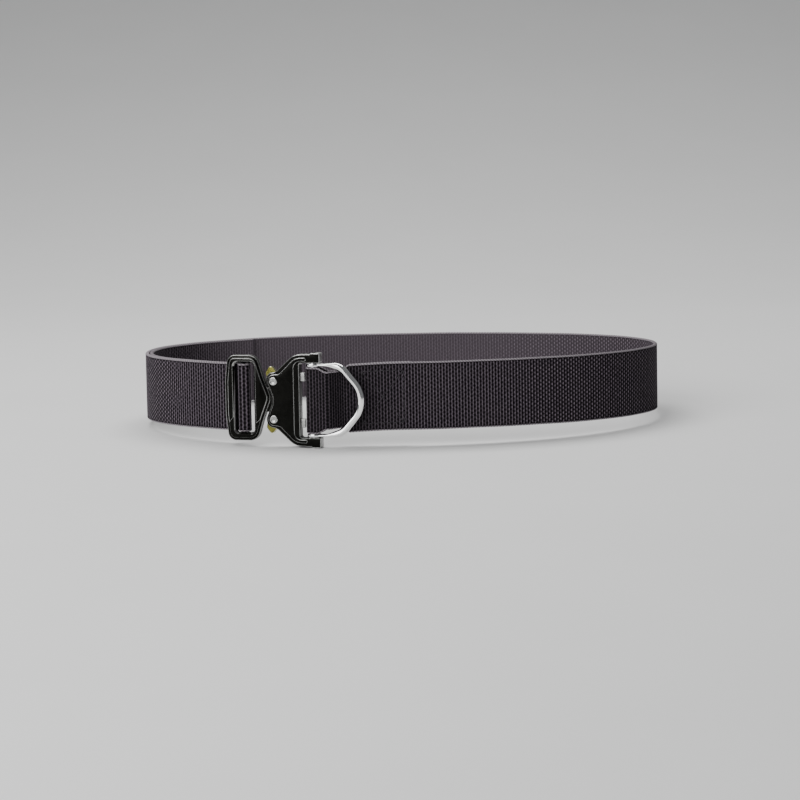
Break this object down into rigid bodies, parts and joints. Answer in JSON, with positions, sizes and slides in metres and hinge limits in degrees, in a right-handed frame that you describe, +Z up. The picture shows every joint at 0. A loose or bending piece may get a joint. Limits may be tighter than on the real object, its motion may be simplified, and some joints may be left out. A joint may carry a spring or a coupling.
{
  "type": "webbing belt",
  "caption": "Waist belt of stiff webbing closed by a two-part plate buckle with release clips and a hinged D-ring.",
  "frame": {"origin": "bottom centre of the part's box, on the surface that the belt stands on", "axes": "+X along the long way across the loop, to the right as the buckle is seen from the front; +Y to the back of the loop; +Z up"},
  "size_m": [0.349, 0.2152, 0.0619],
  "materials": {
    "webbing": "coarse woven, dull",
    "tongue_frame": "black anodised, satin",
    "slider_bar": "black anodised, satin",
    "housing": "black anodised, satin",
    "rivet_upper": "plated, satin",
    "rivet_lower": "plated, satin",
    "clip_upper": "satin",
    "clip_lower": "satin",
    "cross_pin": "ground",
    "d_ring": "polished"
  },
  "bodies": {
    "belt": {"webbing": "webbing", "tongue_frame": "tongue_frame", "slider_bar": "slider_bar", "housing": "housing", "rivet_upper": "rivet_upper", "rivet_lower": "rivet_lower", "cross_pin": "cross_pin"},
    "ring": {"d_ring": "d_ring"},
    "upper_clip": {"clip_upper": "clip_upper"},
    "lower_clip": {"clip_lower": "clip_lower"}
  },
  "joints": [
    {"name": "ring_hinge", "type": "hinge", "parent": "belt", "child": "ring", "pos_m": [-0.05971, -0.09795, 0.03094], "axis": [0, -0.05, -0.9987], "range_deg": [0, 140]},
    {"name": "upper_clip_hinge", "type": "hinge", "parent": "belt", "child": "upper_clip", "pos_m": [-0.08478, -0.09043, 0.04298], "axis": [-0.2767, -0.9597, 0.0481], "range_deg": [0, 18], "stiffness_Nm_per_rad": 0.02},
    {"name": "lower_clip_hinge", "type": "hinge", "parent": "belt", "child": "lower_clip", "pos_m": [-0.08478, -0.09167, 0.01821], "axis": [0.2767, 0.9597, -0.0481], "range_deg": [0, 18], "stiffness_Nm_per_rad": 0.02}
  ]
}
